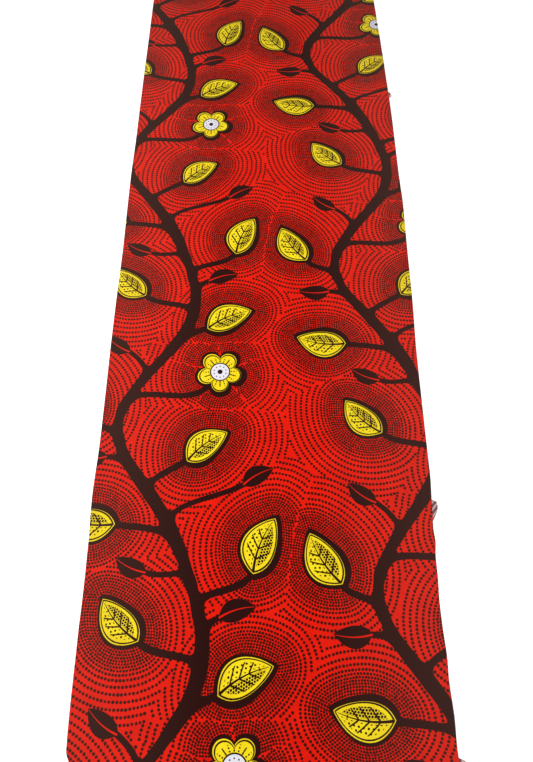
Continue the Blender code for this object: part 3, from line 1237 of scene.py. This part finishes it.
# A closed thin shell: a fine printed side, a coarser back, and rims between their edges
def clothShell(name, front, cloth, back, rowPicks, colPicks, printShare, selvedgeGap=None):
    rows, cols = front.shape[:2]
    frontNumbers = np.arange(rows * cols).reshape(rows, cols)
    backNumbers = rows * cols + np.arange(back.shape[0] * back.shape[1]).reshape(back.shape[:2])
    frontFaces = gridFaces(frontNumbers)
    backFaces = gridFaces(backNumbers)[:, ::-1]
    near = rimFaces(frontNumbers[0][::-1], backNumbers[0][::-1], cols - 1 - colPicks[::-1])
    far = rimFaces(frontNumbers[-1], backNumbers[-1], colPicks)
    left = rimFaces(frontNumbers[:, 0], backNumbers[:, 0], rowPicks)
    right = rimFaces(frontNumbers[::-1, -1], backNumbers[::-1, -1], rows - 1 - rowPicks[::-1])
    points = np.vstack([front.reshape(-1, 3), back.reshape(-1, 3)])
    groups = [frontFaces, backFaces, *near, *far, *left, *right]
    outward = [(0, 0), None]
    for rim, way in ((near, (0, -1)), (far, (0, 1)), (left, (-1, 0)), (right, (1, 0))):
        outward += [way] * len(rim)
    mesh = meshFrom(name, points, groups)
    mesh.materials.append(printed)
    mesh.materials.append(reverse)
    slots = np.concatenate([np.full(len(g), 0 if g is frontFaces else 1) for g in groups])
    mesh.polygons.foreach_set("material_index", slots.astype(np.int32))
    mesh.shade_smooth()

    # what the materials read: the back and the rims are far from every dot and motif
    clothBack = cloth[np.ix_(rowPicks, colPicks)]
    flat = np.vstack([cloth.reshape(-1, 2), clothBack.reshape(-1, 2)])
    corners = np.concatenate([g.ravel() for g in groups])
    mapCorners(mesh, "clothPlace", flat[corners])
    splitAt = cloth[rowPicks[len(rowPicks) // 2], 0, 1]
    mapCorners(mesh, bakeLayout["map"], bakePlaces(groups, outward, flat, rows * cols, splitAt, printShare))
    gap = np.full(len(points), 1.0)
    gap[:rows * cols] = darkGap(cloth.reshape(-1, 2))
    store(mesh, "darkGap", "FLOAT", "POINT", gap)
    if selvedgeGap is None:
        selvedgeGap = np.full(len(points), 1.0)
    store(mesh, "selvedgeGap", "FLOAT", "POINT", selvedgeGap)
    # distance to the nearer fold, which the painted sheen and shade near the folds reads
    leftFold, rightFold = foldLines(flat[:, 1])
    foldGap = np.minimum(flat[:, 0] - leftFold, rightFold - flat[:, 0])
    store(mesh, "foldGap", "FLOAT", "POINT", np.maximum(foldGap, 0))
    faceCloth = flat[frontFaces]
    rest = len(corners) - frontFaces.size
    for label, offset in zip(dotLabels, dotOffsets(faceCloth, dots, dotRadii)):
        offset = np.vstack([offset.reshape(-1, 2), np.full((rest, 2), farAway)])
        store(mesh, label, "FLOAT2", "CORNER", offset)
    place = np.vstack([motifPlaces(faceCloth).reshape(-1, 3), np.full((rest, 3), farAway)])
    store(mesh, "motifPlace", "FLOAT_VECTOR", "CORNER", place)
    return addObject(name, mesh)


# Which rows or columns the back side keeps: every few in the middle stretch, all round folds
def picks(count, every, first=0, last=0):
    middle = np.arange(first, count - last, every)
    edges = np.concatenate([np.arange(first), middle, [count - 1 - last], np.arange(count - last, count)])
    return np.unique(edges.astype(int))


printed = printedCotton()
reverse = wrongSide()
along = np.linspace(0, strip["length"], round(strip["length"] / grid["rowStep"]) + 1)
spanShares = np.linspace(0, 1, round(strip["faceWidth"] / grid["spanStep"]) + 1)

front, cloth = faceSections(along, spanShares)
rowPicks = picks(len(along), grid["backEvery"])
colPicks = picks(front.shape[1], grid["backEvery"], grid["arcSteps"], grid["arcSteps"])
back = faceSections(along, spanShares, grid["thickness"], 0.0)[0][np.ix_(rowPicks, colPicks)]
face = clothShell("printedFace", front, cloth, back, rowPicks, colPicks, bakeLayout["faceShare"])
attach(face, "root")
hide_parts("face_layer")
print("face layer:", len(face.data.polygons), "faces")

underlay = {"lift": 0.0002, "thickness": 0.0006, "turnedHeight": 0.0016, "turnedThickness": 0.0006}
shares = np.linspace(0, 1, len(spanShares))
front, cloth = bottomSections(along, shares, underlay["lift"])
rowPicks = picks(len(along), 1)
colPicks = picks(len(shares), grid["bottomEvery"], grid["bottomEdge"])
top = bottomSections(along, shares, underlay["lift"] + underlay["thickness"])[0][np.ix_(rowPicks, colPicks)]
edgeX = selvedgeLine(along)[:, None]
fromEdge = np.concatenate([(edgeX - front[:, :, 0]).ravel(), (edgeX - top[:, :, 0]).ravel()])
hiddenShare = bakeLayout["hiddenShare"]
bottom = clothShell("bottomLayer", front, cloth, top, rowPicks, colPicks, hiddenShare, fromEdge)
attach(bottom, "root")
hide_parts("under_layers")

shares = np.linspace(0, 1, grid["turnedPoints"])
front, cloth = turnedSections(along, shares, underlay["turnedHeight"])
rowPicks, colPicks = picks(len(along), grid["backEvery"]), picks(len(shares), grid["backEvery"])
top = turnedSections(along, shares, underlay["turnedHeight"] + underlay["turnedThickness"])[0]
top = top[np.ix_(rowPicks, colPicks)]
turned = clothShell("turnedUnder", front, cloth, top, rowPicks, colPicks, hiddenShare)
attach(turned, "root")
print("hidden layers made")

# Loose yarns that have worked out of the selvedge: in tufts at the near corner, at the
# tab and in three places where they come out past the right fold
yarn = {
    "radius": 0.00026,
    "hold": 0.0015,
    "height": 0.0006,
    "steps": 9,
    "shortest": 0.5,
    "drift": 0.8,
    "bend": 0.35,
    "rise": 0.0012,
    "arch": 0.8,
    "seed": 11,
}
tuftNames = ("along", "spread", "reach", "count")
tuftRows = (
    (0.008, 0.010, 0.0042, 30),
    (0.392, 0.014, 0.0020, 12),
    (1.062, 0.030, 0.0024, 26),
    (1.389, 0.009, 0.0036, 26),
    (1.512, 0.026, 0.0024, 18),
)


# Each yarn runs out from the selvedge, drifts along it with the square of its length and
# bends as half a sine. Its section is a square on its corner, swept by the line's normals.
def looseYarns():
    rng = np.random.default_rng(yarn["seed"])
    counts = column(tuftRows, tuftNames, "count").astype(int)
    start = np.repeat(column(tuftRows, tuftNames, "along"), counts)
    spread = np.repeat(column(tuftRows, tuftNames, "spread"), counts)
    start = np.abs(start + spread * rng.uniform(-1, 1, len(start)))
    reach = np.repeat(column(tuftRows, tuftNames, "reach"), counts)
    reach = reach * rng.uniform(yarn["shortest"], 1, len(start))
    drift = reach * rng.normal(0, yarn["drift"], len(start))
    bend = reach * rng.uniform(-1, 1, len(start)) * yarn["bend"]
    rise = rng.uniform(0, yarn["rise"], len(start))
    t = np.linspace(0, 1, yarn["steps"])
    shown = np.where(selvedgeLine(start) < foldLines(start)[1], strip["selvedgeTuck"], 0)
    x = (selvedgeLine(start) - yarn["hold"])[:, None] + (yarn["hold"] + reach + shown)[:, None] * t
    y = start[:, None] + drift[:, None] * t * t + bend[:, None] * np.sin(math.pi * t) - strip["length"] / 2
    z = yarn["height"] + rise[:, None] * np.sin(math.pi * t * yarn["arch"])
    line = np.stack([x, y, np.broadcast_to(z, x.shape)], axis=2)
    way = np.gradient(line, axis=1)
    way /= np.linalg.norm(way, axis=2, keepdims=True)
    side = np.cross(way, [0.0, 0.0, 1.0])
    side /= np.linalg.norm(side, axis=2, keepdims=True)
    up = np.cross(side, way)
    ring = np.stack([side, up, -side, -up], axis=2) * yarn["radius"]
    points = line[:, :, None] + ring
    numbers = np.arange(points.size // 3).reshape(points.shape[:3])
    beside = np.roll(numbers, -1, axis=2)
    walls = np.stack([numbers[:, :-1], numbers[:, 1:], beside[:, 1:], beside[:, :-1]], axis=3)
    ends = np.vstack([numbers[:, 0], numbers[:, -1, ::-1]])
    return meshFrom("looseYarns", points.reshape(-1, 3), [walls.reshape(-1, 4), ends])


# Undyed cotton with a little of the red in it
def threadCotton():
    material, tree, shader = newMaterial("threadCotton")
    place = addNode(tree, "ShaderNodeTexCoord", {}, {}, "Object")
    tinted = addNode(tree, "ShaderNodeTexNoise", {}, {
        "Vector": place,
        "Scale": backColours["threadScale"],
        "Detail": 2.0,
    })
    tinted = tinted.math("MULTIPLY_ADD", tinted, *backColours["threadContrast"], clamp=True)
    fill(tree, shader, {
        "Base Color": mixed(tinted, paint(*backColours["thread"]), paint(*backColours["redThread"])),
        "Roughness": backColours["roughness"],
        "Sheen Weight": printColours["sheen"],
    })
    return material


yarnMesh = looseYarns()
yarnMesh.materials.append(threadCotton())
yarnMesh.shade_smooth()
yarns = addObject("looseYarns", yarnMesh)
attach(yarns, "root")
print("loose yarns made:", int(column(tuftRows, tuftNames, "count").sum()))

# A plain white table lit a little from inside, a long soft light overhead and pale surroundings
studio = {
    "floor": (0.96, 0.96, 0.96, 1.0),
    "floorHalf": 6,
    "floorGlow": 0.34,
    "floorRoughness": 0.9,
    "world": 0.62,
    "keyPower": 6.8,
    "keyAcross": 0.4,
    "keyAlong": 2.2,
    "keySpread": 100,
    "keyPlace": (-0.10, -0.27, 1.15),
}
floorMesh = bpy.data.meshes.new("floor")
half = studio["floorHalf"]
floorCorners = [(-half, -half, 0), (half, -half, 0), (half, half, 0), (-half, half, 0)]
floorMesh.from_pydata(floorCorners, [], [(0, 1, 2, 3)])
floor = addObject("floor", floorMesh)
floorMaterial, floorTree, floorShader = newMaterial("paleFloor")
fill(floorTree, floorShader, {
    "Base Color": studio["floor"],
    "Emission Color": studio["floor"],
    "Emission Strength": studio["floorGlow"],
    "Roughness": studio["floorRoughness"],
})
floorMesh.materials.append(floorMaterial)

world = bpy.data.worlds.new("paleRoom")
world.use_nodes = True
world.node_tree.nodes["Background"].inputs["Color"].default_value = (1.0, 1.0, 1.0, 1.0)
world.node_tree.nodes["Background"].inputs["Strength"].default_value = studio["world"]
scene.world = world

keyData = bpy.data.lights.new("softKey", "AREA")
keyData.energy = studio["keyPower"]
keyData.shape = "RECTANGLE"
keyData.size = studio["keyAcross"]
keyData.size_y = studio["keyAlong"]
keyData.spread = math.radians(studio["keySpread"])
key = addObject("softKey", keyData)
key.location = studio["keyPlace"]
key.visible_camera = False
scene.view_settings.view_transform = "Standard"

# The camera stands over the near end and looks down along the strip
shot = {"height": 1.054, "nearOffset": 0.140, "pitch": 64.9, "lens": 29.3, "side": 0.0023, "yaw": -0.06}
cameraData = bpy.data.cameras.new("camera")
cameraData.lens = shot["lens"]
camera = addObject("camera", cameraData)
camera.location = (shot["side"], shot["nearOffset"] - strip["length"] / 2, shot["height"])
camera.rotation_euler = (math.radians(90 - shot["pitch"]), 0, math.radians(shot["yaw"]))
scene.camera = camera
print("studio and camera ready")
